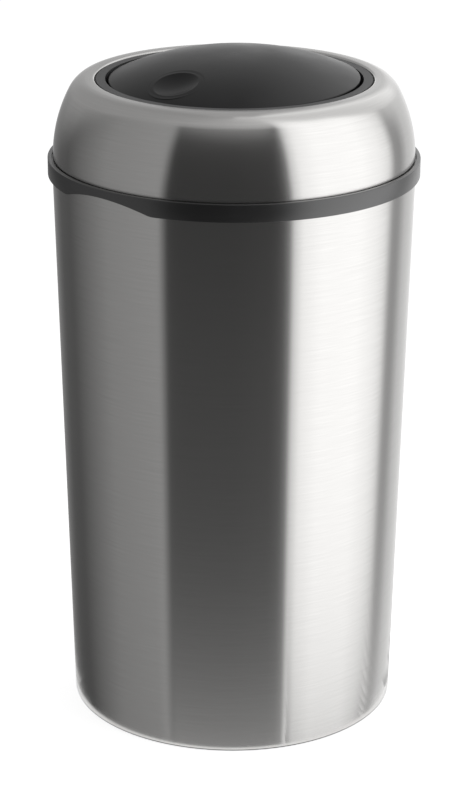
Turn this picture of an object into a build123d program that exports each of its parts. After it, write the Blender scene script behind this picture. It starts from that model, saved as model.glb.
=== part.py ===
from build123d import *
import os
from math import asin, cos, degrees, radians, sin

os.makedirs("parts", exist_ok=True)

# Swing-lid bin, in millimetres and degrees.
# The origin is the centre of the footprint on the floor, +Z is up and the front is -Y.
# The flap swings about an axis along X.

# Clearances
fixed_gap = 0.1        # between pieces that are held fast to each other
seat_gap = 0.3         # under the lift-off head where it rests on the body
pin_run = 0.05         # radial, pin in bush
thread_gap = 0.05      # radial, screw in its pilot hole

# Steel body
sheet = 0.8            # stainless sheet
shell_foot_r = 170.7   # outside, at the floor
shell_rim_r = 185.6    # outside, just under the rolled rim
rim_z = 587.5          # top of the rolled rim
bead_r = 0.9           # section radius of the rolled rim
bead_out = 0.1         # centre of the bead beyond the outside of the sheet

# Base ring, pan and pads
pad_proud = 0.8        # rubber below the ring
ring_lip_h = 0.7       # edge of the ring that shows under the steel
ring_lip_inset = 0.3   # that edge behind the face of the steel
ring_foot_h = 3.0      # thickness of the foot of the ring
ring_foot_w = 15.0     # radial width of the foot of the ring
ring_wall = 2.2
ring_wall_top = 16.0   # height of the upstand inside the shell
pan_z = 13.0           # underside of the flat of the pan
pan_rise = 3.0         # height of the pressed step in the middle
pan_step_r = 110.0
pan_step_run = 6.0     # radial run of the slope of that step
pad_r = 5.0
pad_count = 4
pad_pocket = 1.5       # depth of the pocket that holds a pad

# Black ring at the joint
lip_run = 1.0          # radial, rolled rim to the outer lip
band_wall = 2.4
lip_drop = 12.4        # outer lip below the rim
web_h = 2.6            # web that rests on the rim
groove_depth = 2.6     # groove that takes the foot of the steel collar
groove_out = 1.3       # open gap outside the collar
groove_in = 0.6        # gap inside the collar
band_edge = 0.7        # chamfer round the top outer edge
upstand_h = 7.6        # wall inside the collar, above the web's top
upstand_wall = 2.3
skirt_run = 1.4        # radial, skirt inside the shell
skirt_drop = 21.5      # skirt below the rim
skirt_lead = 0.8       # radial lead-in at the skirt's end
skirt_lead_h = 6.0
scoop_arc_r = 182.0    # radius of the finger scoop's edge
scoop_rise = 9.4       # scoop above the lip's lower edge
scoop_turn = -5.0      # scoop's direction round from the front, towards -X
scoop_blend_r = 26.0   # rounding where the scoop runs into the lower edge

# Steel collar
collar_step = 1.0      # collar inside the face of the body
side_arc_r = 142.8
side_turn = 28.1       # degrees that the side leans in over that arc
shoulder_arc_r = 30.4
shoulder_turn = 55.0   # degrees from plumb where the shoulder tightens
crest_arc_r = 15.0
crest_flat = 6.2       # level run between the crest arc and the rolled edge
edge_roll_r = 2.6      # rolled edge at the mouth
lip_below_top = 4.1    # turned-in lip, below the highest line of the collar

# Bezel with chute
bezel_sink = 1.2       # bezel below the highest line of the collar
bezel_gap = 1.1        # radial groove between the collar and the bezel
bezel_w = 9.2          # flat of the bezel
bezel_wall = 2.5
chute_h = 25.4
flange_h = 3.0
flange_sink = 3.4      # top of the flange below the flat
flange_out = 16.0      # flange beyond the mouth
flange_pitch_out = 9.0  # stud circle beyond the mouth
stud_count = 6
stud_r = 2.0
stud_hole_r = 2.3
stud_below = 6.0       # stud past the flange
nut_h = 3.2
nut_af = 7.0           # across flats
nut_flange_r = 4.6
nut_flange_h = 1.0

# Pivots
pivot_drop = 13.4      # swing axis below the flat of the bezel
pin_r = 3.0
pin_head_r = 5.0
pin_head_h = 2.0
pin_end_play = 0.4
bush_wall = 2.0
bush_flange_r = 7.5
bush_flange_h = 1.4
boss_r = 9.0
pad_in = 0.4           # flat pad proud of the chute's inside, for the bush
boss_out = 8.6         # boss beyond the inside of the chute
ear_half_w = 7.0
ear_wall = 2.6

# Stops
swing_limit = 80.0     # each way from level
stop_near = 11.0       # from the swing axis
stop_far = 19.0
stop_half_w = 2.0
stop_in = 7.8          # rib inside the chute
buffer_h = 1.2
lug_h = 3.0
lug_gap = 0.3          # lug to buffer at the end of the swing
lug_near = 7.0
lug_len_in = 6.2       # lug along the axis, from the boss's face

# Flap
flap_gap = 3.3         # open gap round the flap
flap_lift = 0.1        # flap's rim above the flat of the bezel
flap_tilt = 1.3        # nose down at rest
flap_wall = 2.5
flap_skirt = 8.0
crown_h = 24.7
crown_power = 2.4      # how flat the middle of the crown is
rim_round = 1.2
flap_boss_len = 20.0
flap_boss_in = 1.2     # face of the boss inside the flap's edge
pin_engage = 15.0      # pin in the flap's boss
spacer_play = 0.2
dimple_y = -93.0       # from the swing axis, towards the front
dimple_r = 25.4
dimple_depth = 5.0
dimple_round = 1.6

# Underside cover, weight and screws
cover_h = 2.0
cover_gap = 0.3        # radial, inside the flap's skirt
cover_sink = 0.5       # cover above the skirt's lower edge
slot_gap = 0.6         # cover clear of the flap's bosses
post_r = 4.0
post_xy = 62.0         # posts from the middle, each way
cover_screw_r = 1.5
cover_screw_len = 16.0
cover_head_r = 3.0
cover_head_h = 2.0
weight_l = 121.0
weight_w = 41.0
weight_h = 12.0
weight_y = -0.22       # weight ahead of the axis, so that the flap hangs nose down
well_depth = 37.0      # below the cover's underside
well_wall = 2.0
well_round = 5.0
weight_screw_x = 40.0
weight_screw_r = 2.0
weight_screw_len = 10.0
weight_head_r = 4.0
weight_head_h = 2.4


def shell_r(z):
    """Outside radius of the tapered shell at a height."""
    return shell_foot_r + (shell_rim_r - shell_foot_r) * z / rim_z


def turn(points, plane=Plane.XZ, axis=Axis.Z):
    """Turn a closed outline of (radius, height) points round an axis."""
    with BuildSketch(plane) as outline:
        with BuildLine():
            Polyline(*points, close=True)
        make_face()
    revolve(outline.sketch, axis=axis)


def along_x(start, end, radius, origin, mode=Mode.ADD):
    """Round bar along X from one x to another, about an axis through origin."""
    base = Plane(origin=origin + Vector(start, 0, 0), x_dir=(0, 1, 0), z_dir=(1, 0, 0))
    with BuildSketch(base) as disc:
        Circle(radius)
    extrude(disc.sketch, amount=end - start, mode=mode)


# Body shell: a tapered tube with its upper edge rolled out
ring_top_of_lip = pad_proud + ring_lip_h
shell_z0 = ring_top_of_lip + fixed_gap
bead_z = rim_z - bead_r
bead_c_r = shell_rim_r + bead_out
bead_outer_r = bead_c_r + bead_r

with BuildPart() as body_shell:
    turn([
        (shell_r(shell_z0) - sheet, shell_z0),
        (shell_r(shell_z0), shell_z0),
        (shell_r(bead_z), bead_z),
        (shell_r(bead_z) - sheet, bead_z),
    ])
    with BuildSketch(Plane.XZ):
        with Locations((bead_c_r, bead_z)):
            Circle(bead_r)
    revolve(axis=Axis.Z)
body_shell.part.label = "body_shell"
export_step(body_shell.part, "parts/body_shell.step")


# Base ring: black moulding pressed up into the foot of the shell
ring_z0 = pad_proud
ring_foot_top = ring_z0 + ring_foot_h
ring_in_r = shell_foot_r - ring_foot_w
ring_lip_r = shell_r(shell_z0) - ring_lip_inset
pad_c_r = ring_in_r + ring_foot_w / 2 - ring_wall


def ring_wall_r(z):
    """Outside radius of the base ring's upstand at a height."""
    return shell_r(z) - sheet - fixed_gap


with BuildPart() as base_ring:
    turn([
        (ring_in_r, ring_z0),
        (ring_lip_r, ring_z0),
        (ring_lip_r, ring_top_of_lip),
        (ring_wall_r(ring_top_of_lip), ring_top_of_lip),
        (ring_wall_r(ring_wall_top), ring_wall_top),
        (ring_wall_r(ring_wall_top) - ring_wall, ring_wall_top),
        (ring_wall_r(ring_foot_top) - ring_wall, ring_foot_top),
        (ring_in_r, ring_foot_top),
    ])
    with BuildSketch(Plane.XY.offset(ring_z0)):
        with PolarLocations(pad_c_r, pad_count):
            Circle(pad_r + fixed_gap)
    extrude(amount=pad_pocket, mode=Mode.SUBTRACT)
base_ring.part.label = "base_ring"
export_step(base_ring.part, "parts/base_ring.step")

with BuildPart() as foot_pads:
    with BuildSketch():
        with PolarLocations(pad_c_r, pad_count):
            Circle(pad_r)
    extrude(amount=pad_proud + pad_pocket - fixed_gap)
foot_pads.part.label = "foot_pads"
export_step(foot_pads.part, "parts/foot_pads.step")


# Base pan: pressed steel tray, upside down on the foot of the ring
pan_r = ring_wall_r(pan_z) - ring_wall - fixed_gap - (shell_r(pan_z) - shell_r(0))
pan_foot_z = ring_foot_top + fixed_gap

with BuildPart() as base_pan:
    turn([
        (0, pan_z + pan_rise),
        (pan_step_r - pan_step_run, pan_z + pan_rise),
        (pan_step_r, pan_z),
        (pan_r - sheet, pan_z),
        (pan_r - sheet, pan_foot_z),
        (pan_r, pan_foot_z),
        (pan_r, pan_z + sheet),
        (pan_step_r, pan_z + sheet),
        (pan_step_r - pan_step_run, pan_z + pan_rise + sheet),
        (0, pan_z + pan_rise + sheet),
    ])
base_pan.part.label = "base_pan"
export_step(base_pan.part, "parts/base_pan.step")


# Joint band: outer lip over the rim, web on the rim, skirt inside the shell and
# an upstand that centres the steel collar in its groove
web_z = rim_z + seat_gap
groove_z = web_z + web_h
band_top_z = groove_z + groove_depth
band_low_z = rim_z - lip_drop
lip_in_r = bead_outer_r + lip_run
band_r = lip_in_r + band_wall
collar_foot_r = shell_rim_r - collar_step
groove_out_r = collar_foot_r + groove_out
groove_in_r = collar_foot_r - sheet - groove_in
skirt_r = shell_rim_r - sheet - skirt_run
skirt_in_r = groove_in_r - upstand_wall
skirt_z0 = rim_z - skirt_drop
scoop_plane = Plane(
    origin=(0, 0, band_low_z),
    x_dir=(cos(radians(scoop_turn)), sin(radians(scoop_turn)), 0),
    z_dir=(sin(radians(scoop_turn)), -cos(radians(scoop_turn)), 0),
)
scoop_reach = scoop_arc_r + scoop_blend_r
scoop_half = (scoop_reach**2 - (scoop_reach - scoop_rise)**2) ** 0.5
scoop_lean = degrees(asin(scoop_half / scoop_reach))

with BuildPart() as joint_band:
    turn([
        (lip_in_r, band_low_z),
        (band_r, band_low_z),
        (band_r, band_top_z - band_edge),
        (band_r - band_edge, band_top_z),
        (groove_out_r, band_top_z),
        (groove_out_r, groove_z),
        (lip_in_r, groove_z),
    ])
    with BuildSketch(scoop_plane):
        with BuildLine():
            CenterArc((0, scoop_rise - scoop_arc_r), scoop_arc_r, 90 - scoop_lean, 2 * scoop_lean)
            right = CenterArc((scoop_half, scoop_blend_r), scoop_blend_r, 270, -scoop_lean)
            left = CenterArc((-scoop_half, scoop_blend_r), scoop_blend_r, 270, scoop_lean)
            Polyline(right @ 0, (scoop_half, -band_wall), (-scoop_half, -band_wall), left @ 0)
        make_face()
    extrude(amount=band_r + band_wall, mode=Mode.SUBTRACT)
    turn([
        (skirt_r - skirt_lead, skirt_z0),
        (skirt_r, skirt_z0 + skirt_lead_h),
        (skirt_r, web_z),
        (lip_in_r, web_z),
        (lip_in_r, groove_z),
        (groove_in_r, groove_z),
        (groove_in_r, groove_z + upstand_h),
        (skirt_in_r, groove_z + upstand_h),
        (skirt_in_r, skirt_z0),
    ])
joint_band.part.label = "joint_band"
export_step(joint_band.part, "parts/joint_band.step")


# Dome collar: pressed steel, vertical at its foot, then a long side arc, a shoulder
# in two arcs, a short level crest and an edge rolled down into the mouth
side_c = Vector(collar_foot_r - side_arc_r, band_top_z)
lean = Vector(cos(radians(side_turn)), sin(radians(side_turn)))
shoulder_c = side_c + lean * (side_arc_r - shoulder_arc_r)
tighten = Vector(cos(radians(shoulder_turn)), sin(radians(shoulder_turn)))
crest_c = shoulder_c + tighten * (shoulder_arc_r - crest_arc_r)
roll_c = Vector(crest_c.X - crest_flat, crest_c.Y + crest_arc_r - edge_roll_r)
mouth_r = roll_c.X - edge_roll_r
collar_top_z = roll_c.Y + edge_roll_r
collar_lip_z = collar_top_z - lip_below_top
collar_z0 = groove_z + fixed_gap

with BuildPart() as dome_collar:
    with BuildSketch(Plane.XZ):
        with BuildLine():
            foot = Line((collar_foot_r, collar_z0), (collar_foot_r, band_top_z))
            CenterArc(side_c, side_arc_r, 0, side_turn)
            CenterArc(shoulder_c, shoulder_arc_r, side_turn, shoulder_turn - side_turn)
            crest = CenterArc(crest_c, crest_arc_r, shoulder_turn, 90 - shoulder_turn)
            roll = CenterArc(roll_c, edge_roll_r, 90, 90)
            Line(crest @ 1, roll @ 0)
            drop = Line(roll @ 1, (mouth_r, collar_lip_z))
            end = Line(drop @ 1, (mouth_r + sheet, collar_lip_z))
            Line(end @ 1, (mouth_r + sheet, roll_c.Y))
            roll_in = CenterArc(roll_c, edge_roll_r - sheet, 180, -90)
            crest_in = CenterArc(crest_c, crest_arc_r - sheet, 90, shoulder_turn - 90)
            Line(roll_in @ 1, crest_in @ 0)
            CenterArc(shoulder_c, shoulder_arc_r - sheet, shoulder_turn, side_turn - shoulder_turn)
            CenterArc(side_c, side_arc_r - sheet, side_turn, -side_turn)
            inside = Line((collar_foot_r - sheet, band_top_z), (collar_foot_r - sheet, collar_z0))
            Line(inside @ 1, foot @ 0)
        make_face()
    revolve(axis=Axis.Z)
dome_collar.part.label = "dome_collar"
export_step(dome_collar.part, "parts/dome_collar.step")


# Bezel: flat ring round the flap, with a chute wall, a flange under the collar,
# a bush boss and a stop rib at each end of the swing axis
bezel_z = collar_top_z - bezel_sink
bezel_r = mouth_r - bezel_gap
chute_r = bezel_r - bezel_w
flange_z = bezel_z - flange_sink
flange_r = mouth_r + flange_out
chute_z0 = bezel_z - chute_h
stud_c_r = mouth_r + flange_pitch_out
pivot_z = bezel_z - pivot_drop
pivot = Vector(0, 0, pivot_z)
bush_r = pin_r + pin_run + bush_wall
bush_face_x = chute_r - pad_in
boss_face_x = chute_r + boss_out
stop_x0 = chute_r - stop_in
sides = (-1, 1)

with BuildPart() as bezel:
    turn([
        (chute_r, chute_z0),
        (chute_r + bezel_wall, chute_z0),
        (chute_r + bezel_wall, bezel_z - bezel_wall),
        (bezel_r - bezel_wall, bezel_z - bezel_wall),
        (bezel_r - bezel_wall, flange_z - flange_h),
        (flange_r, flange_z - flange_h),
        (flange_r, flange_z),
        (bezel_r, flange_z),
        (bezel_r, bezel_z),
        (chute_r, bezel_z),
    ])
    for side in sides:
        along_x(side * bush_face_x, side * boss_face_x, boss_r, pivot)
        ear_out = chute_r + ear_wall
        with BuildSketch(Plane.XY.offset(pivot_z - stop_far)):
            with Locations((side * (bush_face_x + ear_out) / 2, 0)):
                Rectangle(ear_out - bush_face_x, 2 * ear_half_w)
            with Locations((side * (stop_x0 + ear_out) / 2, 0)):
                Rectangle(ear_out - stop_x0, 2 * stop_half_w)
        extrude(amount=stop_far - stop_near)
        with BuildSketch(Plane.XY.offset(pivot_z - stop_near)):
            with Locations((side * (bush_face_x + ear_out) / 2, 0)):
                Rectangle(ear_out - bush_face_x, 2 * ear_half_w)
        extrude(amount=stop_near)
        along_x(side * (bush_face_x - stop_in), side * (boss_face_x + pin_head_h),
                bush_r + fixed_gap, pivot, mode=Mode.SUBTRACT)
    with BuildSketch(Plane.XY.offset(flange_z)):
        with PolarLocations(stud_c_r, stud_count, start_angle=180 / stud_count):
            Circle(stud_hole_r)
    extrude(amount=-flange_h, mode=Mode.SUBTRACT)
bezel.part.label = "bezel"
export_step(bezel.part, "parts/bezel.step")


# Weld studs under the collar's shoulder, and the flanged nuts that hold the bezel
crest_in_r = crest_arc_r - sheet
stud_edge = stud_c_r + stud_r - crest_c.X
stud_top_z = crest_c.Y + (crest_in_r**2 - stud_edge**2) ** 0.5 - fixed_gap
nut_top_z = flange_z - flange_h - fixed_gap
stud_z0 = nut_top_z - stud_below

with BuildPart() as weld_studs:
    with BuildSketch(Plane.XY.offset(stud_z0)):
        with PolarLocations(stud_c_r, stud_count, start_angle=180 / stud_count):
            Circle(stud_r)
    extrude(amount=stud_top_z - stud_z0)
weld_studs.part.label = "weld_studs"
export_step(weld_studs.part, "parts/weld_studs.step")

with BuildPart() as flange_nuts:
    with BuildSketch(Plane.XY.offset(nut_top_z)):
        with PolarLocations(stud_c_r, stud_count, start_angle=180 / stud_count):
            Circle(nut_flange_r)
            Circle(stud_r + thread_gap, mode=Mode.SUBTRACT)
    extrude(amount=-nut_flange_h)
    with BuildSketch(Plane.XY.offset(nut_top_z)):
        with PolarLocations(stud_c_r, stud_count, start_angle=180 / stud_count):
            RegularPolygon(nut_af / 2, 6, major_radius=False)
            Circle(stud_r + thread_gap, mode=Mode.SUBTRACT)
    extrude(amount=-nut_h - nut_flange_h)
flange_nuts.part.label = "flange_nuts"
export_step(flange_nuts.part, "parts/flange_nuts.step")


# Stop buffers: a rubber pad on each face of each stop rib
buffer_y = stop_half_w + fixed_gap + (buffer_h - fixed_gap) / 2

with BuildPart() as stop_buffers:
    with BuildSketch(Plane.XY.offset(pivot_z - stop_far)):
        for side in sides:
            with Locations((side * (stop_x0 + bush_face_x - fixed_gap) / 2, -buffer_y),
                           (side * (stop_x0 + bush_face_x - fixed_gap) / 2, buffer_y)):
                Rectangle(bush_face_x - fixed_gap - stop_x0, buffer_h - fixed_gap)
    extrude(amount=stop_far - stop_near)
stop_buffers.part.label = "stop_buffers"
export_step(stop_buffers.part, "parts/stop_buffers.step")


# Flap: everything on it is drawn level and then lies nose down by the rest tilt
flap_r = chute_r - flap_gap
tilt = radians(flap_tilt)
swing = Plane(origin=pivot, x_dir=(1, 0, 0), z_dir=(0, -sin(tilt), cos(tilt)))
flap_side = Plane(origin=pivot, x_dir=swing.y_dir, z_dir=swing.x_dir)
flap_front = Plane(origin=pivot, x_dir=swing.x_dir, z_dir=swing.y_dir * -1)
flap_axis = Axis(pivot, swing.z_dir)
rim_h = pivot_drop + flap_lift
skirt_low = rim_h - flap_skirt
cover_low = skirt_low + cover_sink
cover_top = cover_low + cover_h
flap_face_x = flap_r - flap_boss_in
flap_boss_x0 = flap_face_x - flap_boss_len


def crown(r):
    """Height of the crown's outside above the swing axis at a radius."""
    return rim_h + crown_h * (1 - (r / flap_r) ** crown_power)


def crown_slope(r):
    """Fall of the crown per millimetre outwards at a radius."""
    return crown_h * crown_power / flap_r * (r / flap_r) ** (crown_power - 1)


def crown_points(reach, drop):
    """Points on the crown from the middle out to a radius, lowered by drop."""
    return [(reach * share, crown(reach * share) - drop) for share in (0, 0.3, 0.6, 0.8, 1)]


dimple_ball_r = (dimple_r**2 + dimple_depth**2) / (2 * dimple_depth)
dimple_slope = crown_slope(-dimple_y)
dimple_lean = 1 / (1 + dimple_slope**2) ** 0.5
dimple_normal = Vector(-dimple_slope * dimple_lean, dimple_lean)
dimple_top = Vector(dimple_y, crown(-dimple_y))
dimple_c = dimple_top + dimple_normal * (dimple_ball_r - dimple_depth)

with BuildPart() as flap_shell:
    with BuildSketch(flap_side):
        with BuildLine():
            top = Spline(*crown_points(flap_r, 0), tangents=[(1, 0), (1, -crown_slope(flap_r))])
            edge = Line(top @ 1, (flap_r, skirt_low))
            low = Line(edge @ 1, (flap_r - flap_wall, skirt_low))
            under = Spline(
                *crown_points(flap_r - flap_wall, flap_wall),
                tangents=[(1, 0), (1, -crown_slope(flap_r - flap_wall))],
            )
            Line(low @ 1, under @ 1)
            Line(under @ 0, top @ 0)
        make_face()
    revolve(axis=flap_axis)
    rim_edge = flap_shell.edges().filter_by(GeomType.CIRCLE).sort_by(SortBy.RADIUS)
    rim_edge = rim_edge.filter_by(lambda e: abs(e.radius - flap_r) < fixed_gap)
    rim_edge = rim_edge.sort_by(lambda e: e.center().Z)
    fillet(rim_edge[-1], radius=rim_round)
    # Bosses that hold the pins, with a stop lug ahead of the axis and one behind it
    for side in sides:
        with BuildSketch(flap_front):
            with BuildLine():
                Polyline(
                    (side * flap_boss_x0, 0),
                    (side * flap_face_x, 0),
                    (side * flap_face_x, crown(flap_face_x) - flap_wall / 2),
                    (side * flap_boss_x0, crown(flap_boss_x0) - flap_wall / 2),
                    close=True,
                )
            make_face()
        extrude(amount=boss_r, both=True)
        along_x(side * flap_boss_x0, side * flap_face_x, boss_r, pivot)
        for way in sides:
            limit = radians(way * swing_limit)
            turned = Plane(
                origin=pivot + Vector(side * (flap_face_x - lug_len_in), 0, 0),
                x_dir=swing.y_dir * cos(limit) + swing.z_dir * sin(limit),
                z_dir=(1, 0, 0),
            )
            lug_y = stop_half_w + buffer_h + lug_gap + lug_h / 2
            with BuildSketch(turned):
                with Locations((way * lug_y, -(lug_near + stop_far - lug_gap) / 2)):
                    Rectangle(lug_h, stop_far - lug_gap - lug_near)
            extrude(amount=side * lug_len_in)
    # Posts for the cover's screws
    post_top = crown(post_xy * 2**0.5 + post_r) - flap_wall / 8
    with BuildSketch(swing.offset(cover_top + fixed_gap)):
        with GridLocations(2 * post_xy, 2 * post_xy, 2, 2):
            Circle(post_r)
    extrude(amount=post_top - cover_top - fixed_gap)
    # Finger dimple: a dish added under the crown, then hollowed from above
    dish_top = dimple_top - dimple_normal * (flap_wall / 2)
    dish_r = ((dimple_ball_r + flap_wall) ** 2
              - (dimple_ball_r - dimple_depth + flap_wall / 2) ** 2) ** 0.5
    across = Vector(dimple_normal.Y, -dimple_normal.X)
    with BuildSketch(flap_side):
        with BuildLine():
            spoke = Line(dish_top, dish_top + across * dish_r)
            bottom = dimple_c - dimple_normal * (dimple_ball_r + flap_wall)
            RadiusArc(spoke @ 1, bottom, dimple_ball_r + flap_wall)
            Line(bottom, dish_top)
        make_face()
    dish_axis = Axis(flap_side.from_local_coords(dish_top),
                     flap_side.x_dir * dimple_normal.X + flap_side.y_dir * dimple_normal.Y)
    revolve(axis=dish_axis)
    with Locations(flap_side.from_local_coords(dimple_c)):
        Sphere(dimple_ball_r, mode=Mode.SUBTRACT)
    fillet(flap_shell.edges(Select.LAST), radius=dimple_round)
    # Pin holes and pilot holes
    for side in sides:
        along_x(side * (flap_face_x - pin_engage - fixed_gap), side * flap_r,
                pin_r + thread_gap, pivot, mode=Mode.SUBTRACT)
    with BuildSketch(swing.offset(cover_top + fixed_gap)):
        with GridLocations(2 * post_xy, 2 * post_xy, 2, 2):
            Circle(cover_screw_r + thread_gap)
    extrude(amount=cover_screw_len, mode=Mode.SUBTRACT)
flap_shell.part.label = "flap_shell"
export_step(flap_shell.part, "parts/flap_shell.step")


# Underside cover: closes the flap from below, with a well for the weight
well_low = cover_low - well_depth
well_in_l = weight_l + 2 * cover_gap
well_in_w = weight_w + 2 * cover_gap

with BuildPart() as flap_underside:
    with BuildSketch(swing.offset(cover_low)):
        Circle(flap_r - flap_wall - cover_gap)
    extrude(amount=cover_h)
    with BuildSketch(swing.offset(cover_low)):
        with Locations((0, weight_y)):
            RectangleRounded(well_in_l + 2 * well_wall, well_in_w + 2 * well_wall, well_round)
    extrude(amount=-well_depth)
    with BuildSketch(swing.offset(cover_top)):
        with Locations((0, weight_y)):
            RectangleRounded(well_in_l, well_in_w, well_round - well_wall)
    extrude(amount=-(cover_top - well_low - well_wall), mode=Mode.SUBTRACT)
    slot_x0 = flap_boss_x0 - slot_gap
    with BuildSketch(swing.offset(cover_low)):
        for side in sides:
            with Locations((side * (slot_x0 + flap_r) / 2, 0)):
                Rectangle(flap_r - slot_x0, 2 * (boss_r + slot_gap))
    extrude(amount=cover_h, mode=Mode.SUBTRACT)
    with BuildSketch(swing.offset(cover_low)):
        with GridLocations(2 * post_xy, 2 * post_xy, 2, 2):
            Circle(cover_screw_r + cover_gap)
    extrude(amount=cover_h, mode=Mode.SUBTRACT)
    with BuildSketch(swing.offset(well_low)):
        with Locations((-weight_screw_x, weight_y), (weight_screw_x, weight_y)):
            Circle(weight_screw_r + cover_gap)
    extrude(amount=well_wall, mode=Mode.SUBTRACT)
flap_underside.part.label = "flap_underside"
export_step(flap_underside.part, "parts/flap_underside.step")

with BuildPart() as cover_screws:
    with BuildSketch(swing.offset(cover_low - fixed_gap)):
        with GridLocations(2 * post_xy, 2 * post_xy, 2, 2):
            Circle(cover_head_r)
    extrude(amount=-cover_head_h)
    with BuildSketch(swing.offset(cover_low - fixed_gap)):
        with GridLocations(2 * post_xy, 2 * post_xy, 2, 2):
            Circle(cover_screw_r)
    extrude(amount=cover_screw_len)
cover_screws.part.label = "cover_screws"
export_step(cover_screws.part, "parts/cover_screws.step")


# Counterweight: a steel bar in the well, screwed from below
weight_low = well_low + well_wall + fixed_gap

with BuildPart() as counterweight:
    with BuildSketch(swing.offset(weight_low)):
        with Locations((0, weight_y)):
            RectangleRounded(weight_l, weight_w, well_round - well_wall)
        with Locations((-weight_screw_x, weight_y), (weight_screw_x, weight_y)):
            Circle(weight_screw_r + thread_gap, mode=Mode.SUBTRACT)
    extrude(amount=weight_h)
counterweight.part.label = "counterweight"
export_step(counterweight.part, "parts/counterweight.step")

with BuildPart() as weight_screws:
    with BuildSketch(swing.offset(well_low - fixed_gap)):
        with Locations((-weight_screw_x, weight_y), (weight_screw_x, weight_y)):
            Circle(weight_head_r)
    extrude(amount=-weight_head_h)
    with BuildSketch(swing.offset(well_low - fixed_gap)):
        with Locations((-weight_screw_x, weight_y), (weight_screw_x, weight_y)):
            Circle(weight_screw_r)
    extrude(amount=weight_screw_len)
weight_screws.part.label = "weight_screws"
export_step(weight_screws.part, "parts/weight_screws.step")


# Pivot pins, flanged bushes and spacer washers at the two ends of the swing axis
pin_tip_x = flap_face_x - pin_engage
head_face_x = boss_face_x + pin_end_play
spacer_x0 = flap_face_x + spacer_play
spacer_x1 = bush_face_x - fixed_gap - bush_flange_h - spacer_play


def pivot_pin(side):
    """Steel pin with a round head outside the bezel's boss."""
    along_x(side * pin_tip_x, side * head_face_x, pin_r, pivot)
    along_x(side * head_face_x, side * (head_face_x + pin_head_h), pin_head_r, pivot)


def flanged_bush(side):
    """Bush through the bezel's boss, with its flange towards the flap."""
    flange_x = bush_face_x - fixed_gap
    along_x(side * flange_x, side * boss_face_x, bush_r, pivot)
    along_x(side * (flange_x - bush_flange_h), side * flange_x, bush_flange_r, pivot)
    along_x(side * (flange_x - bush_flange_h), side * boss_face_x, pin_r + pin_run, pivot,
            mode=Mode.SUBTRACT)


with BuildPart() as pivot_pin_left:
    pivot_pin(-1)
pivot_pin_left.part.label = "pivot_pin_left"
export_step(pivot_pin_left.part, "parts/pivot_pin_left.step")

with BuildPart() as pivot_pin_right:
    pivot_pin(1)
pivot_pin_right.part.label = "pivot_pin_right"
export_step(pivot_pin_right.part, "parts/pivot_pin_right.step")

with BuildPart() as bush_left:
    flanged_bush(-1)
bush_left.part.label = "bush_left"
export_step(bush_left.part, "parts/bush_left.step")

with BuildPart() as bush_right:
    flanged_bush(1)
bush_right.part.label = "bush_right"
export_step(bush_right.part, "parts/bush_right.step")

with BuildPart() as spacer_washers:
    for side in sides:
        along_x(side * spacer_x0, side * spacer_x1, pin_head_r, pivot)
        along_x(side * spacer_x0, side * spacer_x1, pin_r + pin_run, pivot, mode=Mode.SUBTRACT)
spacer_washers.part.label = "spacer_washers"
export_step(spacer_washers.part, "parts/spacer_washers.step")

print("band outside diameter", round(2 * band_r, 2))
print("flat of the bezel at", round(bezel_z, 2), "mouth radius", round(mouth_r, 2))
print("swing axis height", round(pivot_z, 4), "flap radius", round(flap_r, 2))
print("top of the crown", round(pivot_z + crown(0), 2))
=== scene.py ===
"""Looks of the swing-lid bin: steel body and collar, black ring, bezel and flap, on a pale studio floor."""

import logging
import math
from dataclasses import dataclass, field
from enum import Enum

import bpy
import numpy as np
from mathutils import Matrix, Vector

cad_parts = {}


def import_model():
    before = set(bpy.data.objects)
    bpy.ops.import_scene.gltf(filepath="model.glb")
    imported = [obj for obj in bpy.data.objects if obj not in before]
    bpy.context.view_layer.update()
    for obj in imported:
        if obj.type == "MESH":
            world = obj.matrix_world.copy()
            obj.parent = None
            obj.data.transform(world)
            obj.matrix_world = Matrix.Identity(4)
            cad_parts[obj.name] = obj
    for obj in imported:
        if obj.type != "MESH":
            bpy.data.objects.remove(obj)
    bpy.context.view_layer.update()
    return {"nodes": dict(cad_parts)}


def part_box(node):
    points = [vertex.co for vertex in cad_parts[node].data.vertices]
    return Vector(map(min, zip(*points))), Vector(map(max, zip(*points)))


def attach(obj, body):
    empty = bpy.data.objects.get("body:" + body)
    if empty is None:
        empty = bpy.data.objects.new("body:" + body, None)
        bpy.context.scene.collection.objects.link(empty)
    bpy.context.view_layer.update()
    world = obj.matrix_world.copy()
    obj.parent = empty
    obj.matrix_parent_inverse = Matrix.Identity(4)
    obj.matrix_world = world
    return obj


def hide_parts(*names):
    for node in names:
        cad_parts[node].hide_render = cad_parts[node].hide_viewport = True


log = logging.getLogger("bin")

MM = 0.001
TURN = 2.0 * math.pi
SHARP = math.radians(38.0)


class Slot(Enum):
    """Material slots of the record that the scene's own pieces stand for."""

    STEEL = "steel"
    BLACK_PLASTIC = "black_plastic"


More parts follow.
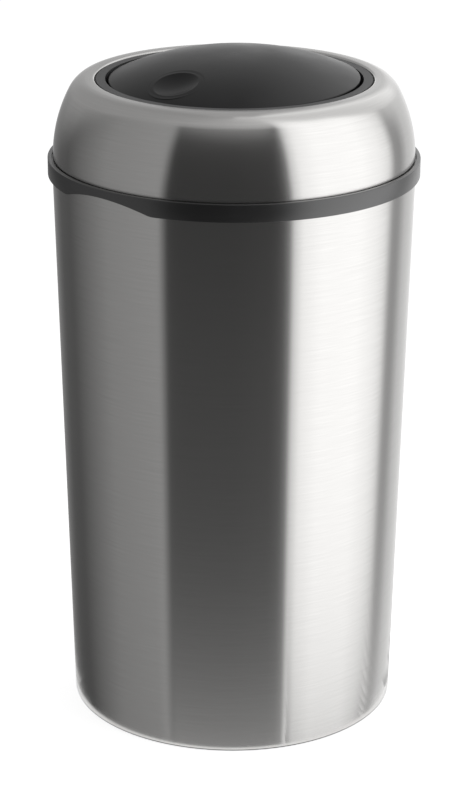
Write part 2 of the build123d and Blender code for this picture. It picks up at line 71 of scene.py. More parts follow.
@dataclass
class Nodes:
    """A material's node tree with short ways to add and join nodes."""

    material: bpy.types.Material
    tree: bpy.types.NodeTree = field(init=False)
    shader: bpy.types.Node = field(init=False)

    def __post_init__(self) -> None:
        """Clear the tree and put in one Principled shader and the output."""
        self.material.use_nodes = True
        self.tree = self.material.node_tree
        self.tree.nodes.clear()
        self.shader = self.add("ShaderNodeBsdfPrincipled")
        output = self.add("ShaderNodeOutputMaterial")
        self.join(self.shader.outputs["BSDF"], output.inputs["Surface"])

    def add(self, kind: str, **values: object) -> bpy.types.Node:
        """Add a node of a kind and set its properties.

        Args:
            kind: Blender's name for the node type.
            **values: node properties to set.

        Returns:
            The new node.
        """
        node = self.tree.nodes.new(kind)
        for name, value in values.items():
            setattr(node, name, value)
        return node

    def join(self, source: bpy.types.NodeSocket, target: bpy.types.NodeSocket) -> None:
        """Link an output to an input."""
        self.tree.links.new(source, target)

    def noise(self, vector: bpy.types.NodeSocket, scale: float, detail: float = 3.0) -> bpy.types.NodeSocket:
        """Fractal noise of a vector.

        Args:
            vector: where the noise is read.
            scale: cells per unit of the vector.
            detail: octaves.

        Returns:
            The noise's value output.
        """
        node = self.add("ShaderNodeTexNoise")
        node.inputs["Scale"].default_value = scale
        node.inputs["Detail"].default_value = detail
        self.join(vector, node.inputs["Vector"])
        return node.outputs["Fac"]

    def stretched(self, vector: bpy.types.NodeSocket,
                  scale: tuple[float, float, float]) -> bpy.types.NodeSocket:
        """A vector scaled by a different number along each axis.

        Args:
            vector: the vector to scale.
            scale: the three factors.

        Returns:
            The scaled vector.
        """
        node = self.add("ShaderNodeMapping")
        node.inputs["Scale"].default_value = scale
        self.join(vector, node.inputs["Vector"])
        return node.outputs["Vector"]

    def ranged(self, value: bpy.types.NodeSocket, low: float, high: float,
               source: tuple[float, float] = (0.0, 1.0)) -> bpy.types.NodeSocket:
        """A value mapped from one range to another and clamped.

        Args:
            value: the number to map.
            low: result at the start of the source range.
            high: result at its end.
            source: the range that the value comes in.

        Returns:
            The mapped number.
        """
        node = self.add("ShaderNodeMapRange")
        node.inputs["From Min"].default_value = source[0]
        node.inputs["From Max"].default_value = source[1]
        node.inputs["To Min"].default_value = low
        node.inputs["To Max"].default_value = high
        self.join(value, node.inputs["Value"])
        return node.outputs["Result"]

    def sums(self, operation: str, *values: bpy.types.NodeSocket | float) -> bpy.types.NodeSocket:
        """A Math node over sockets and numbers.

        Args:
            operation: Blender's name for the sum.
            *values: its inputs in order.

        Returns:
            The result.
        """
        node = self.add("ShaderNodeMath", operation=operation)
        for index, value in enumerate(values):
            if isinstance(value, bpy.types.NodeSocket):
                self.join(value, node.inputs[index])
            else:
                node.inputs[index].default_value = value
        return node.outputs[0]

    def blended(self, factor: bpy.types.NodeSocket, first: tuple[float, float, float],
                second: tuple[float, float, float]) -> bpy.types.NodeSocket:
        """A colour between two colours.

        Args:
            factor: 0 for the first colour and 1 for the second.
            first: linear red, green and blue.
            second: linear red, green and blue.

        Returns:
            The mixed colour.
        """
        node = self.add("ShaderNodeMix", data_type="RGBA")
        node.inputs["A"].default_value = (*first, 1.0)
        node.inputs["B"].default_value = (*second, 1.0)
        self.join(factor, node.inputs["Factor"])
        return node.outputs["Result"]

    def bump(self, height: bpy.types.NodeSocket, strength: float, distance: float) -> None:
        """Give the shader a bump from a height.

        Args:
            height: the height, 0 to 1.
            strength: share of the bump that shows.
            distance: height in metres that 1 stands for.
        """
        node = self.add("ShaderNodeBump")
        node.inputs["Strength"].default_value = strength
        node.inputs["Distance"].default_value = distance
        self.join(height, node.inputs["Height"])
        self.join(node.outputs["Normal"], self.shader.inputs["Normal"])


@dataclass(frozen=True)
class BrushedSteel:
    """Stainless sheet brushed round the bin, with an optional welded seam where the map begins."""

    name: str
    dark: tuple[float, float, float] = (0.595, 0.588, 0.578)
    light: tuple[float, float, float] = (0.645, 0.638, 0.628)
    rough: tuple[float, float] = (0.15, 0.20)
    streak: tuple[float, float] = (22.0, 2600.0)
    broad: tuple[float, float] = (5.0, 420.0)
    seam_width: float = 0.0
    girth: float = 1.0
    bump: float = 0.05

    def material(self) -> bpy.types.Material:
        """Build the node material.

        The map is in metres, along the girth and along the profile. Noise squeezed
        along the profile gives short scratches that run round the bin. The scratches
        spread a reflection up and down, so the rougher way is across them.

        Returns:
            The material.
        """
        nodes = Nodes(bpy.data.materials.new(self.name))
        chart = nodes.add("ShaderNodeUVMap", uv_map="girth").outputs["UV"]
        fine = nodes.noise(nodes.stretched(chart, (*self.streak, 1.0)), 1.0, 4.0)
        broad = nodes.noise(nodes.stretched(chart, (*self.broad, 1.0)), 1.0, 2.0)
        mixed = nodes.sums("ADD", nodes.sums("MULTIPLY", fine, 0.75), nodes.sums("MULTIPLY", broad, 0.25))
        shade = nodes.ranged(mixed, 0.0, 1.0, (0.34, 0.66))
        nodes.join(nodes.blended(shade, self.dark, self.light), nodes.shader.inputs["Base Color"])
        nodes.join(nodes.ranged(mixed, self.rough[1], self.rough[0], (0.34, 0.66)),
                   nodes.shader.inputs["Roughness"])
        nodes.shader.inputs["Metallic"].default_value = 1.0
        nodes.shader.inputs["Anisotropic"].default_value = 0.94
        nodes.shader.inputs["Anisotropic Rotation"].default_value = 0.25
        tangent = nodes.add("ShaderNodeTangent", direction_type="UV_MAP", uv_map="girth")
        nodes.join(tangent.outputs["Tangent"], nodes.shader.inputs["Tangent"])
        height = mixed
        if self.seam_width > 0.0:
            split = nodes.add("ShaderNodeSeparateXYZ")
            nodes.join(chart, split.inputs["Vector"])
            to_end = nodes.sums("SUBTRACT", self.girth, split.outputs["X"])
            from_seam = nodes.sums("MINIMUM", split.outputs["X"], to_end)
            weld = nodes.ranged(from_seam, 6.0, 0.0, (0.0, self.seam_width))
            height = nodes.sums("ADD", mixed, weld)
        nodes.bump(height, self.bump, 0.00001)
        return nodes.material


@dataclass(frozen=True)
class MouldedPlastic:
    """Satin moulding with a fine spark-eroded grain and faint flow marks."""

    name: str
    colour: tuple[float, float, float]
    rough: float = 0.42
    grain: float = 2600.0
    grain_depth: float = 0.00002
    variation: float = 0.25
    specular: float = 0.5
    coat: float = 0.0
    gate: tuple[float, float, float] | None = None
    gate_r: float = 0.0

    def material(self) -> bpy.types.Material:
        """Build the node material, with a ring left by the moulding gate where one is given.

        Returns:
            The material.
        """
        nodes = Nodes(bpy.data.materials.new(self.name))
        place = nodes.add("ShaderNodeTexCoord").outputs["Object"]
        grain = nodes.noise(place, self.grain, 2.0)
        cloud = nodes.noise(place, 22.0, 3.0)
        darker = tuple(c * (1.0 - self.variation) for c in self.colour)
        lighter = tuple(c * (1.0 + self.variation) for c in self.colour)
        nodes.join(nodes.blended(nodes.ranged(cloud, 0.0, 1.0, (0.3, 0.7)), darker, lighter),
                   nodes.shader.inputs["Base Color"])
        nodes.join(nodes.ranged(cloud, self.rough * 0.9, self.rough * 1.1, (0.3, 0.7)),
                   nodes.shader.inputs["Roughness"])
        nodes.shader.inputs["Specular IOR Level"].default_value = self.specular
        nodes.shader.inputs["Coat Weight"].default_value = self.coat
        nodes.shader.inputs["Coat Roughness"].default_value = self.rough
        height = grain
        if self.gate is not None:
            away = nodes.add("ShaderNodeVectorMath", operation="DISTANCE")
            nodes.join(place, away.inputs[0])
            away.inputs[1].default_value = self.gate
            off_ring = nodes.sums("ABSOLUTE", nodes.sums("SUBTRACT", away.outputs["Value"], self.gate_r))
            ring = nodes.ranged(off_ring, 10.0, 0.0, (0.0, 0.0009))
            height = nodes.sums("SUBTRACT", grain, ring)
        nodes.bump(height, 0.4, self.grain_depth)
        return nodes.material


@dataclass(frozen=True)
class PlainMetal:
    """Zinc plate, galvanised sheet or plain bar, with soft mottling."""

    name: str
    colour: tuple[float, float, float]
    rough: float = 0.35
    mottle: float = 90.0
    contrast: float = 0.2

    def material(self) -> bpy.types.Material:
        """Build the node material.

        Returns:
            The material.
        """
        nodes = Nodes(bpy.data.materials.new(self.name))
        place = nodes.add("ShaderNodeTexCoord").outputs["Object"]
        mottle = nodes.noise(place, self.mottle, 4.0)
        darker = tuple(c * (1.0 - self.contrast) for c in self.colour)
        nodes.join(nodes.blended(nodes.ranged(mottle, 0.0, 1.0, (0.35, 0.65)), darker, self.colour),
                   nodes.shader.inputs["Base Color"])
        nodes.join(nodes.ranged(mottle, self.rough * 1.25, self.rough * 0.8, (0.35, 0.65)),
                   nodes.shader.inputs["Roughness"])
        nodes.shader.inputs["Metallic"].default_value = 1.0
        nodes.bump(nodes.noise(place, 1400.0, 2.0), 0.3, 0.00001)
        return nodes.material


def arc(centre: tuple[float, float], radius: float, start: float, end: float, count: int) -> np.ndarray:
    """Points on an arc: centre plus radius times (cosine, sine) of evenly spaced angles.

    Args:
        centre: radius and height of the arc's centre.
        radius: radius of the arc.
        start: first angle in degrees, 0 outwards and 90 up.
        end: last angle in degrees.
        count: number of points.

    Returns:
        An array of (radius, height) rows.
    """
    angle = np.radians(np.linspace(start, end, count))
    return np.stack([centre[0] + radius * np.cos(angle), centre[1] + radius * np.sin(angle)], axis=1)


def turned_mesh(name: str, radius: np.ndarray, height: np.ndarray, girth: float) -> bpy.types.Object:
    """A closed ring whose section goes round the Z axis.

    The grid's rows go along the closed section and its columns go round the axis from
    the back: a point is (-radius sin a, radius cos a, height) at column angle a. The map
    is in metres, the angle's share of the girth against the length along the section.

    Args:
        name: the object's name.
        radius: radii, rows along the section and columns round the axis.
        height: heights in the same layout.
        girth: length that one turn counts as in the map.

    Returns:
        The new object.
    """
    rows, columns = radius.shape
    angle = np.linspace(0.0, TURN, columns, endpoint=False)
    points = np.stack([-radius * np.sin(angle), radius * np.cos(angle), height], axis=2)
    row, column = np.meshgrid(np.arange(rows), np.arange(columns), indexing="ij")
    next_row = (row + 1) % rows
    next_column = (column + 1) % columns
    faces = np.stack([
        row * columns + column,
        row * columns + next_column,
        next_row * columns + next_column,
        next_row * columns + column,
    ], axis=2).reshape(-1, 4)
    step = np.hypot(np.diff(radius[:, 0], append=radius[0, 0]), np.diff(height[:, 0], append=height[0, 0]))
    along = np.concatenate([[0.0], np.cumsum(step)])
    left = column / columns * girth
    right = (column + 1) / columns * girth
    low = along[row]
    high = along[row + 1]
    chart = np.stack([left, low, right, low, right, high, left, high], axis=2).reshape(-1)
    mesh = bpy.data.meshes.new(name)
    mesh.from_pydata(points.reshape(-1, 3).tolist(), [], faces.tolist())
    layer = mesh.uv_layers.new(name="girth")
    layer.data.foreach_set("uv", chart.astype(np.float32))
    mesh.polygons.foreach_set("use_smooth", np.ones(len(mesh.polygons), dtype=bool))
    mesh.set_sharp_from_angle(angle=SHARP)
    mesh.update()
    piece = bpy.data.objects.new(name, mesh)
    bpy.context.scene.collection.objects.link(piece)
    return piece


def turned(name: str, section: np.ndarray, columns: int, girth: float) -> bpy.types.Object:
    """A ring with the same section all the way round.

    Args:
        name: the object's name.
        section: (radius, height) rows, anticlockwise seen with the axis to the left.
        columns: steps round the axis.
        girth: length that one turn counts as in the map.

    Returns:
        The new object.
    """
    radius = np.repeat(section[:, :1], columns, axis=1)
    height = np.repeat(section[:, 1:], columns, axis=1)
    return turned_mesh(name, radius, height, girth)


@dataclass
class Body:
    """Steel shell, base ring, pan and pads."""

    foot_r: float = 170.7 * MM
    rim_r: float = 185.6 * MM
    rim_z: float = 587.5 * MM
    low_z: float = 1.6 * MM
    sheet: float = 0.8 * MM
    bead_r: float = 0.9 * MM
    bead_out: float = 0.1 * MM
    edge_round: float = 0.3 * MM
    columns: int = 512
    levels: int = 24

    def shell_r(self, height: np.ndarray | float) -> np.ndarray | float:
        """Outside radius of the tapered shell at a height."""
        return self.foot_r + (self.rim_r - self.foot_r) * height / self.rim_z

    def shell(self) -> bpy.types.Object:
        """The tapered steel tube with its rolled rim.

        Returns:
            The shell, riding on the bin body.
        """
        bead_z = self.rim_z - self.bead_r
        outside = np.linspace(self.low_z + self.edge_round, bead_z - self.bead_r, self.levels)
        inside = outside[::-1]
        section = np.concatenate([
            arc((float(self.shell_r(self.low_z)) - self.edge_round, self.low_z + self.edge_round),
                self.edge_round, -90.0, 0.0, 4)[:-1],
            np.stack([self.shell_r(outside), outside], axis=1),
            arc((self.rim_r + self.bead_out, bead_z), self.bead_r, -70.0, 150.0, 14),
            np.stack([self.shell_r(inside) - self.sheet, inside], axis=1),
            np.array([[self.shell_r(self.low_z) - self.sheet, self.low_z]]),
        ])
        girth = TURN * self.rim_r
        piece = turned("steel_shell", section, self.columns, girth)
        finish = BrushedSteel("steel_round_body", seam_width=0.0012, girth=girth)
        piece.data.materials.append(finish.material())
        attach(piece, "bin")
        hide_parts("body_shell")
        return piece

    def dress(self, nodes: dict[str, bpy.types.Object]) -> None:
        """Give the base pieces their finishes.

        Args:
            nodes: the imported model's nodes by name.
        """
        pan = PlainMetal("galvanised_pan", (0.56, 0.57, 0.58), rough=0.42, mottle=45.0, contrast=0.25)
        paint(nodes["base_pan"], pan.material())
        paint(nodes["base_ring"], MouldedPlastic("ring_black", (0.02, 0.02, 0.021), 0.5).material())
        paint(nodes["foot_pads"], MouldedPlastic("pad_rubber", (0.025, 0.025, 0.025), 0.8).material())


@dataclass
class Head:
    """Black joint ring, steel collar, bezel and what holds them."""

    band_r: float = 190.0 * MM
    lip_in_r: float = 187.6 * MM
    band_low_z: float = 575.1 * MM
    web_z: float = 587.8 * MM
    groove_z: float = 590.4 * MM
    band_top_z: float = 593.0 * MM
    groove_out_r: float = 185.9 * MM
    groove_in_r: float = 183.2 * MM
    skirt_r: float = 183.4 * MM
    skirt_in_r: float = 180.9 * MM
    skirt_z0: float = 566.0 * MM
    skirt_lead: float = 0.8 * MM
    skirt_lead_h: float = 6.0 * MM
    upstand_h: float = 7.6 * MM
    edge: float = 0.7 * MM
    scoop_arc_r: float = 182.0 * MM
    scoop_rise: float = 9.4 * MM
    scoop_turn: float = math.radians(-5.0)
    scoop_blend_r: float = 26.0 * MM
    foot_r: float = 184.6 * MM
    side_arc_r: float = 142.8 * MM
    side_turn: float = 28.1
    shoulder_arc_r: float = 30.4 * MM
    shoulder_turn: float = 55.0
    crest_arc_r: float = 15.0 * MM
    crest_flat: float = 6.2 * MM
    edge_roll_r: float = 2.6 * MM
    lip_below_top: float = 4.1 * MM
    sheet: float = 0.8 * MM
    columns: int = 720

    def scoop(self, angle: np.ndarray) -> np.ndarray:
        """Rise of the lip's lower edge at each angle round the ring.

        Across the scoop, at x = ring radius times the sine of the angle from its middle,
        the edge is a large arc that meets the straight edge in two small tangent arcs.

        Args:
            angle: column angles, 0 at the back and going towards -X.

        Returns:
            The rise in metres.
        """
        front = math.pi + self.scoop_turn
        away = angle - front
        across = np.abs(self.band_r * np.sin(away))
        big, small, rise = self.scoop_arc_r, self.scoop_blend_r, self.scoop_rise
        reach = math.sqrt((big + small) ** 2 - (big + small - rise) ** 2)
        touch = reach * big / (big + small)
        main = rise - big + np.sqrt(np.maximum(big**2 - across**2, 0.0))
        blend = small - np.sqrt(np.maximum(small**2 - (reach - across) ** 2, 0.0))
        edge = np.where(across < touch, main, np.where(across < reach, blend, 0.0))
        return np.where(np.cos(away) > 0.0, edge, 0.0)

    def band(self) -> bpy.types.Object:
        """The black ring: outer lip with its scoop, web, skirt and upstand.

        Returns:
            The ring, riding on the head.
        """
        angle = np.linspace(0.0, TURN, self.columns, endpoint=False)
        rise = self.scoop(angle)
        r_out, edge = self.band_r, self.edge
        low = [
            (self.lip_in_r, 0.25 * edge),
            (self.lip_in_r + 0.25 * edge, 0.0),
            (r_out - 0.6 * edge, 0.0),
            (r_out - 0.2 * edge, 0.18 * edge),
            (r_out, 0.6 * edge),
        ]
        top = np.concatenate([
            arc((r_out - edge, self.band_top_z - edge), edge, 0.0, 90.0, 6),
            arc((self.groove_out_r + 0.3 * edge, self.band_top_z - 0.3 * edge), 0.3 * edge, 90.0, 180.0, 3),
            np.array([
                [self.groove_out_r, self.groove_z],
                [self.groove_in_r, self.groove_z],
                [self.groove_in_r, self.groove_z + self.upstand_h],
                [self.skirt_in_r, self.groove_z + self.upstand_h],
                [self.skirt_in_r, self.skirt_z0],
                [self.skirt_r - self.skirt_lead, self.skirt_z0],
                [self.skirt_r, self.skirt_z0 + self.skirt_lead_h],
                [self.skirt_r, self.web_z],
                [self.lip_in_r, self.web_z],
            ]),
        ])
        low_r = np.array([[r] for r, _ in low]) * np.ones((1, self.columns))
        low_z = self.band_low_z + np.array([[z] for _, z in low]) + rise[None, :]
        radius = np.concatenate([low_r, np.repeat(top[:, :1], self.columns, axis=1)])
        height = np.concatenate([low_z, np.repeat(top[:, 1:], self.columns, axis=1)])
        piece = turned_mesh("joint_ring", radius, height, TURN * self.band_r)
        finish = MouldedPlastic("band_black", (0.008, 0.008, 0.0085), 0.34, specular=0.9, coat=0.7)
        piece.data.materials.append(finish.material())
        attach(piece, "head")
        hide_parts("joint_band")
        return piece

    def collar(self) -> bpy.types.Object:
        """The pressed steel collar: foot, side arc, shoulder arc, crest arc, level crest and rolled edge.

        Each arc shares a tangent with the next. The crest arc ends level, and after the
        short level crest the edge rolls down into the mouth.

        Returns:
            The collar, riding on the head.
        """
        side_c = np.array([self.foot_r - self.side_arc_r, self.band_top_z])
        to_shoulder = self.side_arc_r - self.shoulder_arc_r
        shoulder_c = arc(tuple(side_c), to_shoulder, self.side_turn, self.side_turn, 1)[0]
        to_crest = self.shoulder_arc_r - self.crest_arc_r
        crest_c = arc(tuple(shoulder_c), to_crest, self.shoulder_turn, self.shoulder_turn, 1)[0]
        roll_c = crest_c + np.array([-self.crest_flat, self.crest_arc_r - self.edge_roll_r])
        mouth_r = roll_c[0] - self.edge_roll_r
        lip_z = roll_c[1] + self.edge_roll_r - self.lip_below_top
        low_z = self.groove_z + 0.1 * MM
        thin = self.sheet
        section = np.concatenate([
            np.array([[self.foot_r, low_z]]),
            arc(tuple(side_c), self.side_arc_r, 0.0, self.side_turn, 28)[:-1],
            arc(tuple(shoulder_c), self.shoulder_arc_r, self.side_turn, self.shoulder_turn, 16)[:-1],
            arc(tuple(crest_c), self.crest_arc_r, self.shoulder_turn, 90.0, 16),
            arc(tuple(roll_c), self.edge_roll_r, 90.0, 180.0, 10),
            np.array([[mouth_r, lip_z], [mouth_r + thin, lip_z]]),
            arc(tuple(roll_c), self.edge_roll_r - thin, 180.0, 90.0, 8),
            arc(tuple(crest_c), self.crest_arc_r - thin, 90.0, self.shoulder_turn, 10)[:-1],
            arc(tuple(shoulder_c), self.shoulder_arc_r - thin, self.shoulder_turn, self.side_turn, 10)[:-1],
            arc(tuple(side_c), self.side_arc_r - thin, self.side_turn, 0.0, 16),
            np.array([[self.foot_r - thin, low_z]]),
        ])
        girth = TURN * self.foot_r
        piece = turned("steel_collar", section, 512, girth)
        piece.data.materials.append(BrushedSteel("steel_round_collar", girth=girth, bump=0.12).material())
        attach(piece, "head")
        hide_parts("dome_collar")
        return piece

    def dress(self, nodes: dict[str, bpy.types.Object]) -> None:
        """Give the bezel, bushes, buffers and fixings their finishes.

        Args:
            nodes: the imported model's nodes by name.
        """
        paint(nodes["bezel"], MouldedPlastic("bezel_grey", (0.075, 0.075, 0.076), 0.5).material())
        zinc = PlainMetal("zinc_plate", (0.62, 0.62, 0.6)).material()
        for name in ("weld_studs", "flange_nuts"):
            paint(nodes[name], zinc)
        rubber = MouldedPlastic("buffer_rubber", (0.03, 0.03, 0.03), 0.75).material()
        paint(nodes["stop_buffers"], rubber)
        acetal = MouldedPlastic("bush_acetal", (0.7, 0.69, 0.64), 0.45, variation=0.05).material()
        for name in ("bush_left", "bush_right"):
            paint(nodes[name], acetal)


@dataclass
class Flap:
    """Crowned flap with its cover, weight, pins and screws."""

    gate_r: float = 4.0 * MM

    def dress(self, nodes: dict[str, bpy.types.Object]) -> None:
        """Give the flap's pieces their finishes.

        Args:
            nodes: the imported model's nodes by name.
        """
        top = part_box("flap_shell")[1]
        gate = (0.0, 0.0, float(top[2]))
        crown = MouldedPlastic("flap_black", (0.006, 0.006, 0.0064), 0.32, specular=0.3,
                               gate=gate, gate_r=self.gate_r)
        paint(nodes["flap_shell"], crown.material())
        cover = MouldedPlastic("underside_black", (0.022, 0.022, 0.023), 0.5)
        paint(nodes["flap_underside"], cover.material())
        paint(nodes["counterweight"], PlainMetal("weight_bar", (0.3, 0.29, 0.28), 0.5).material())
        zinc = PlainMetal("zinc_pins", (0.62, 0.62, 0.6)).material()
        for name in ("cover_screws", "weight_screws", "pivot_pin_left", "pivot_pin_right"):
            paint(nodes[name], zinc)
        nylon = MouldedPlastic("washer_nylon", (0.72, 0.71, 0.68), 0.5, variation=0.05).material()
        paint(nodes["spacer_washers"], nylon)


def paint(node: bpy.types.Object, material: bpy.types.Material) -> None:
    """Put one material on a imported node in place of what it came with.

    Args:
        node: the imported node's object.
        material: the finish it gets.
    """
    if node.data.materials:
        for index in range(len(node.data.materials)):
            node.data.materials[index] = material
    else:
        node.data.materials.append(material)


@dataclass(frozen=True)
class Lamp:
    """A soft box that faces the bin's axis."""

    name: str
    azimuth: float
    height: float
    distance: float
    width: float
    tall: float
    radiance: float

    def place(self) -> bpy.types.Object:
        """Add the lamp, aimed at the middle of the bin.

        Its power is pi times its area times the radiance.

        Returns:
            The lamp.
        """
        data = bpy.data.lights.new(self.name, "AREA")
        data.shape = "RECTANGLE"
        data.size = self.width
        data.size_y = self.tall
        data.energy = math.pi * self.width * self.tall * self.radiance
        lamp = bpy.data.objects.new(self.name, data)
        angle = math.radians(self.azimuth)
        lamp.location = (self.distance * math.sin(angle), -self.distance * math.cos(angle), self.height)
        aim = Vector((0.0, 0.0, 0.4)) - lamp.location
        lamp.rotation_mode = "QUATERNION"
        lamp.rotation_quaternion = aim.to_track_quat("-Z", "Y")
        lamp.visible_glossy = False
        bpy.context.scene.collection.objects.link(lamp)
        return lamp


@dataclass(frozen=True)
class Stop:
    """One stop of the tent: a place on the bin in degrees, the card's level there and its top's height."""

    place: float
    level: float
    top: float


@dataclass
class Studio:
    """Floor, world, tent of cards, lamps and camera."""

    camera_azimuth: float = 38.0
    camera_distance: float = 2.6081
    camera_height: float = 1.2827
    camera_pitch: float = 20.156
    camera_roll: float = 0.240
    focal_px: float = 2633.02
    centre_px: float = 232.60
    frame_px: tuple[int, int] = (474, 800)
    sensor: float = 36.0
    floor_glow: float = 0.72
    world_level: float = 0.36
    side_r: float = 0.182
    tent_foot_r: float = 0.1735
    tent_r: float = 1.15
    tent_bend: float = 0.45
    tent_wall_z: float = 1.6
    tent_cap_h: float = 0.5
    floor_r: float = 6.0
    floor_sides: int = 96
    tent_gap: float = 0.0005
    tent_levels: int = 48
    tent_cap_levels: int = 20
    tent_columns: int = 720
    mirror_rounds: int = 24
    ceiling_places: tuple[float, ...] = (-90.0, -75.0, -40.0, 60.0, 75.0, 90.0)
    ceiling: tuple[float, ...] = (0.50, 0.38, 0.42, 0.90, 1.20, 0.50)
    lean_places: tuple[float, ...] = (-40.0, -25.0, -5.0, 5.0, 25.0, 40.0)
    lean_turns: tuple[float, ...] = (0.0, 1.8, 1.8, -1.5, -1.5, 0.0)
    lean_from: float = 0.35
    lean_over: float = 0.3
    front_places: tuple[float, ...] = (-24.0, -20.0, 14.0, 17.0)
    front_shares: tuple[float, ...] = (0.0, 1.0, 1.0, 0.0)
    left_places: tuple[float, float] = (-26.0, -22.0)
    front_dusk_from: float = 0.25
    front_dusk_over: float = 0.15
    card_fade: float = 0.35
    front_fade: float = 0.35
    foot_glow: float = 0.28
    foot_fade: float = 0.06
    bright_foot: float = 1.8
    left_dusk: float = 0.15
    dusk_fade: float = 0.2
    front_dusk: float = 0.3
    cards: tuple[Stop, ...] = (
        Stop(-90.0, 0.95, 0.82), Stop(-80.0, 0.26, 0.6), Stop(-70.0, 0.12, 0.6), Stop(-62.0, 0.11, 0.7),
        Stop(-52.0, 0.22, 1.0), Stop(-42.0, 0.33, 1.4), Stop(-23.4, 0.39, 1.7), Stop(-20.6, 0.075, 1.55),
        Stop(0.0, 0.075, 1.55), Stop(12.0, 0.085, 1.55), Stop(15.0, 0.11, 1.6), Stop(17.2, 0.22, 1.75),
        Stop(18.6, 0.90, 1.9), Stop(21.5, 1.35, 1.98), Stop(28.0, 1.55, 1.95), Stop(42.0, 1.58, 1.7),
        Stop(50.0, 1.40, 1.2), Stop(54.5, 1.18, 1.0), Stop(58.5, 0.42, 0.9), Stop(62.0, 0.38, 0.8),
        Stop(68.0, 0.72, 0.8), Stop(78.0, 0.85, 0.8), Stop(90.0, 1.15, 0.85),
    )

    def camera(self) -> None:
        """Add the camera at the photograph's viewing point.

        The lens is the focal length in pixels times the sensor's long side over the long
        side in pixels, and the shift moves the picture's centre to the lens axis.
        """
        data = bpy.data.cameras.new("photo_camera")
        data.sensor_width = self.sensor
        data.lens = self.focal_px * self.sensor / max(self.frame_px)
        data.shift_x = ((self.frame_px[0] - 1) / 2.0 - self.centre_px) / max(self.frame_px)
        camera = bpy.data.objects.new("photo_camera", data)
        turn = math.radians(self.camera_azimuth)
        place = Matrix.Translation((
            self.camera_distance * math.sin(turn),
            -self.camera_distance * math.cos(turn),
            self.camera_height,
        ))
        camera.matrix_world = (
            place
            @ Matrix.Rotation(turn, 4, "Z")
            @ Matrix.Rotation(math.radians(90.0 - self.camera_pitch), 4, "X")
            @ Matrix.Rotation(math.radians(self.camera_roll), 4, "Z")
        )
        bpy.context.scene.collection.objects.link(camera)
        bpy.context.scene.camera = camera

    def floor(self) -> None:
        """Add a pale floor disc that is white to the eye and in mirrors and keeps a soft shadow."""
        angle = np.linspace(0.0, TURN, self.floor_sides, endpoint=False)
        rim = self.floor_r * np.stack([np.cos(angle), np.sin(angle), np.zeros_like(angle)], axis=1)
        mesh = bpy.data.meshes.new("floor")
        mesh.from_pydata(rim.tolist(), [], [list(range(len(rim)))])
        piece = bpy.data.objects.new("floor", mesh)
        material = bpy.data.materials.new("floor_white")
        nodes = Nodes(material)
        nodes.shader.inputs["Base Color"].default_value = (0.8, 0.8, 0.8, 1.0)
        nodes.shader.inputs["Roughness"].default_value = 0.9
        nodes.shader.inputs["Specular IOR Level"].default_value = 0.0
        nodes.shader.inputs["Emission Color"].default_value = (1.0, 1.0, 1.0, 1.0)
        path = nodes.add("ShaderNodeLightPath").outputs
        seen = nodes.sums("MAXIMUM", path["Is Camera Ray"], path["Is Glossy Ray"])
        seen = nodes.sums("MAXIMUM", seen, path["Is Transmission Ray"])
        nodes.join(nodes.sums("MULTIPLY", seen, self.floor_glow), nodes.shader.inputs["Emission Strength"])
        mesh.materials.append(material)
        bpy.context.scene.collection.objects.link(piece)

    def world(self) -> None:
        """Set a surround that is white to the eye and in mirrors, with a plain level for light."""
        world = bpy.data.worlds.new("room")
        bpy.context.scene.world = world
        world.use_nodes = True
        tree = world.node_tree
        tree.nodes.clear()
        out = tree.nodes.new("ShaderNodeOutputWorld")
        back = tree.nodes.new("ShaderNodeBackground")
        back.inputs["Color"].default_value = (1.0, 1.0, 1.0, 1.0)
        path = tree.nodes.new("ShaderNodeLightPath").outputs
        seen = path["Is Camera Ray"]
        for name in ("Is Glossy Ray", "Is Transmission Ray"):
            either = tree.nodes.new("ShaderNodeMath")
            either.operation = "MAXIMUM"
            tree.links.new(seen, either.inputs[0])
            tree.links.new(path[name], either.inputs[1])
            seen = either.outputs[0]
        level = tree.nodes.new("ShaderNodeMapRange")
        level.inputs["To Min"].default_value = self.world_level
        level.inputs["To Max"].default_value = 1.0
        tree.links.new(seen, level.inputs["Value"])
        tree.links.new(level.outputs["Result"], back.inputs["Strength"])
        tree.links.new(back.outputs["Background"], out.inputs["Surface"])

    def tent(self) -> None:
        """Add the light tent that mirrors see: black, grey and white cards round the bin.

        The tent leans out from the foot of the bin, its radius going to the full one by
        an exponential of the height, and closes above in half an ellipse. Each point is
        as bright as the card for the place on the bin's side that mirrors it to the
        camera, fades to the ceiling's level above and has the floor's glow at its foot.
        """
        low = self.tent_wall_z * np.linspace(0.0, 1.0, self.tent_levels) ** 2 + self.tent_gap
        wall_r = self.tent_foot_r + (self.tent_r - self.tent_foot_r) * (1.0 - np.exp(-low / self.tent_bend))
        lift = np.radians(np.linspace(0.0, 90.0, self.tent_cap_levels))[1:]
        radius = np.concatenate([wall_r, wall_r[-1] * np.cos(lift) + self.tent_gap])
        height = np.concatenate([low, low[-1] + self.tent_cap_h * np.sin(lift)])
        columns = self.tent_columns
        angle = np.linspace(-math.pi, math.pi, columns, endpoint=False)
        turn = angle + math.radians(self.camera_azimuth)
        ring_r, ring_a = np.meshgrid(radius, angle, indexing="ij")
        ring_z = np.repeat(height[:, None], columns, axis=1)
        points = np.stack([ring_r * np.sin(turn), -ring_r * np.cos(turn), ring_z], axis=2)
        level = self.card_level(np.degrees(self.mirrored(ring_a, ring_r)), ring_z)
        rows = len(radius)
        row, column = np.meshgrid(np.arange(rows - 1), np.arange(columns), indexing="ij")
        beside = (column + 1) % columns
        faces = np.stack([
            row * columns + column,
            (row + 1) * columns + column,
            (row + 1) * columns + beside,
            row * columns + beside,
        ], axis=2).reshape(-1, 4)
        mesh = bpy.data.meshes.new("tent")
        mesh.from_pydata(points.reshape(-1, 3).tolist(), [], faces.tolist())
        glow = mesh.attributes.new("glow", "FLOAT", "POINT")
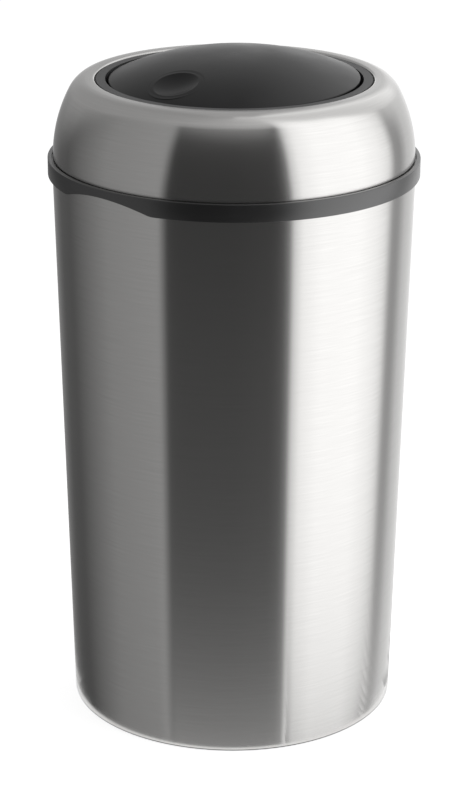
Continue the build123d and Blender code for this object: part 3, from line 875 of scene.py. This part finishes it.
        glow.data.foreach_set("value", level.reshape(-1).astype(np.float32))
        piece = bpy.data.objects.new("tent", mesh)
        material = bpy.data.materials.new("tent_cards")
        nodes = Nodes(material)
        nodes.shader.inputs["Base Color"].default_value = (0.0, 0.0, 0.0, 1.0)
        nodes.shader.inputs["Specular IOR Level"].default_value = 0.0
        nodes.shader.inputs["Emission Color"].default_value = (1.0, 1.0, 1.0, 1.0)
        level_node = nodes.add("ShaderNodeAttribute", attribute_name="glow")
        nodes.join(level_node.outputs["Fac"], nodes.shader.inputs["Emission Strength"])
        mesh.materials.append(material)
        bpy.context.scene.collection.objects.link(piece)
        piece.visible_camera = False
        piece.visible_diffuse = False
        piece.visible_shadow = False

    def mirrored(self, azimuth: np.ndarray, radius: np.ndarray) -> np.ndarray:
        """Azimuth of the place on the bin's side that mirrors a point of the tent to the camera.

        A ray leaves the side at twice the place's azimuth, and meets the tent short of
        that by the arcsine of side radius over tent radius times the place's sine. The
        equation is solved by putting its own answer back in.

        Args:
            azimuth: the tent point's azimuth from the camera's, in radians.
            radius: its distance from the axis in metres.

        Returns:
            The place's azimuth in radians.
        """
        place = azimuth / 2.0
        for _ in range(self.mirror_rounds):
            offset = self.side_r * np.sin(place)
            short = np.arcsin(np.clip(offset / radius, -1.0, 1.0))
            place = (azimuth - np.arctan(offset / self.camera_distance) + short) / 2.0
        return place

    def card_level(self, place: np.ndarray, height: np.ndarray) -> np.ndarray:
        """Brightness of the tent.

        The cards' levels run straight from stop to stop. Their edges lean inwards with
        height, the foot glows in front and to the right, the left darkens to the foot,
        the black card darkens upwards, and a smooth step takes each card to the ceiling.

        Args:
            place: azimuth in degrees of the place on the bin that mirrors the point.
            height: height of the point in metres.

        Returns:
            The brightness, 1 for white.
        """
        lean = np.interp(place, self.lean_places, self.lean_turns)
        place = place - lean * np.clip((height - self.lean_from) / self.lean_over, 0.0, 1.0)
        stops = [stop.place for stop in self.cards]
        side = np.interp(place, stops, [stop.level for stop in self.cards])
        top = np.interp(place, stops, [stop.top for stop in self.cards])
        foot_share = np.interp(place, self.front_places[:2], self.front_shares[:2])
        foot = self.foot_glow * foot_share * np.exp(-height / self.foot_fade)
        low = np.where(side < 1.0, side + foot * (1.0 - side), side - self.bright_foot * foot)
        left = np.interp(place, self.left_places, (1.0, 0.0))
        low = low * (1.0 - self.left_dusk * left * np.exp(-height / self.dusk_fade))
        front = np.interp(place, self.front_places, self.front_shares)
        deep = np.clip((height - self.front_dusk_from) / self.front_dusk_over, 0.0, 1.0)
        low = low * (1.0 - self.front_dusk * front * deep)
        rise = np.clip((height - top) / (self.card_fade + self.front_fade * front) + 0.5, 0.0, 1.0)
        rise = rise * rise * (3.0 - 2.0 * rise)
        above = np.interp(place, self.ceiling_places, self.ceiling)
        return low * (1.0 - rise) + above * rise

    def lamps(self) -> None:
        """Add the soft boxes that light what isn't a mirror: right, left and overhead."""
        Lamp("right_box", self.camera_azimuth + 71.0, 1.1, 2.2, 2.0, 2.0, 1.6).place()
        Lamp("left_box", self.camera_azimuth - 74.0, 1.1, 2.2, 1.6, 2.0, 0.6).place()
        Lamp("top_box", self.camera_azimuth + 180.0, 2.6, 0.9, 1.6, 1.2, 1.0).place()

    def build(self) -> None:
        """Set up the whole studio."""
        bpy.context.scene.view_settings.view_transform = "Standard"
        self.camera()
        self.floor()
        self.world()
        self.tent()
        self.lamps()


def main() -> None:
    """Load the frame, build and dress the bin and the studio."""
    logging.basicConfig(level=logging.INFO, format="%(name)s: %(message)s")
    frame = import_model()
    nodes = frame["nodes"]
    body = Body()
    log.info("shell: %s", body.shell().name)
    body.dress(nodes)
    head = Head()
    log.info("ring: %s", head.band().name)
    log.info("collar: %s", head.collar().name)
    head.dress(nodes)
    Flap().dress(nodes)
    Studio().build()
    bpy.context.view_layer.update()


if __name__ == "__main__":
    main()
